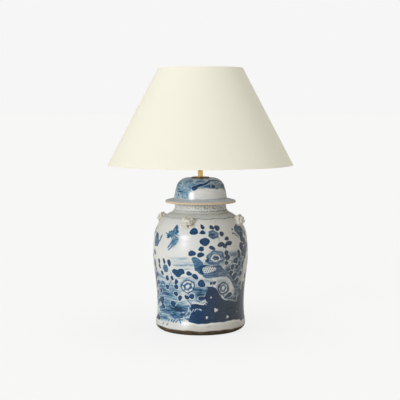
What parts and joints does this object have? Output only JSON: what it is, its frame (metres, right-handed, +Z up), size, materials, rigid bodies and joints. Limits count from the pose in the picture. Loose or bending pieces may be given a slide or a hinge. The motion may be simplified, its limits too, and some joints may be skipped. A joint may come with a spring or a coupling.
{
  "type": "ginger jar table lamp",
  "caption": "Table lamp: lidded blue-and-white stoneware jar with mask lugs, brass neck and a wide ivory coolie shade that tilts and turns on a gimbal.",
  "frame": {"origin": "centre of the felt ring's underside, on the rod's axis, at table height", "axes": "+Z up along the threaded rod, -Y towards the front of the lamp, +Y towards the lead outlet"},
  "size_m": [0.4572, 0.4572, 0.645],
  "materials": {
    "blue_and_white_stoneware": "gloss",
    "cream_glaze": "gloss",
    "green_felt": "matte",
    "black_rubber": "matte",
    "zinc_steel": "satin",
    "red_fibre": "matte",
    "aged_brass": "satin",
    "polished_brass": "polished",
    "white_porcelain": "satin",
    "black_plastic": "gloss",
    "white_wire": "satin",
    "ivory_card": "matte",
    "black_glass": "gloss",
    "plated_cap": "satin",
    "bulb_glass": "clear",
    "tungsten": "satin"
  },
  "bodies": {
    "lamp_base": {"jar_body": "blue_and_white_stoneware", "foot_felt": "green_felt", "lead_grommet": "black_rubber", "mask_lug_front": "cream_glaze", "mask_lug_right": "cream_glaze", "mask_lug_back": "cream_glaze", "mask_lug_left": "cream_glaze", "jar_lid": "blue_and_white_stoneware", "threaded_rod": "zinc_steel", "rubber_washer": "black_rubber", "steel_washer": "zinc_steel", "spring_washer": "zinc_steel", "base_nut": "zinc_steel", "fibre_washer": "red_fibre", "vase_cap": "aged_brass", "neck_tube": "polished_brass", "holder_cap": "polished_brass", "cap_grub_screw": "zinc_steel", "holder_insert": "white_porcelain", "terminal_screws": "polished_brass", "switch_leaves": "polished_brass", "centre_contact": "polished_brass", "screw_shell": "polished_brass", "holder_sleeve": "polished_brass", "lower_grip_ring": "polished_brass", "upper_grip_ring": "polished_brass"},
    "switch": {"switch_bar": "black_plastic", "contact_bridge": "polished_brass"},
    "gimbal_ring": {"gimbal": "polished_brass", "pivot_washers": "black_plastic"},
    "shade": {"pivot_pins": "polished_brass", "shade_hoop": "white_wire", "shade_arm_1": "white_wire", "shade_arm_2": "white_wire", "shade_arm_3": "white_wire", "top_wire_ring": "white_wire", "bottom_wire_ring": "white_wire", "top_hem": "ivory_card", "bottom_hem": "ivory_card", "shade_card": "ivory_card"},
    "bulb": {"bulb_tip": "zinc_steel", "bulb_insulator": "black_glass", "bulb_cap": "plated_cap", "bulb_glass": "bulb_glass", "bulb_stem": "bulb_glass", "filament": "tungsten", "support_wires": "tungsten"}
  },
  "joints": [
    {"name": "switch_slide", "type": "slide", "parent": "lamp_base", "child": "switch", "axis": [1, 0, 0], "range_m": [0, 0.006]},
    {"name": "shade_turn", "type": "hinge", "parent": "lamp_base", "child": "gimbal_ring", "pos_m": [0, 0, 0.51115], "axis": [0, 0, 1], "continuous": true},
    {"name": "shade_tilt", "type": "hinge", "parent": "gimbal_ring", "child": "shade", "pos_m": [0, 0, 0.51115], "axis": [1, 0, 0], "range_deg": [-15, 15]},
    {"name": "bulb_turn", "type": "hinge", "parent": "lamp_base", "child": "bulb", "pos_m": [0, 0, 0.4986], "axis": [0, 0, 1], "range_deg": [0, 1800]}
  ]
}
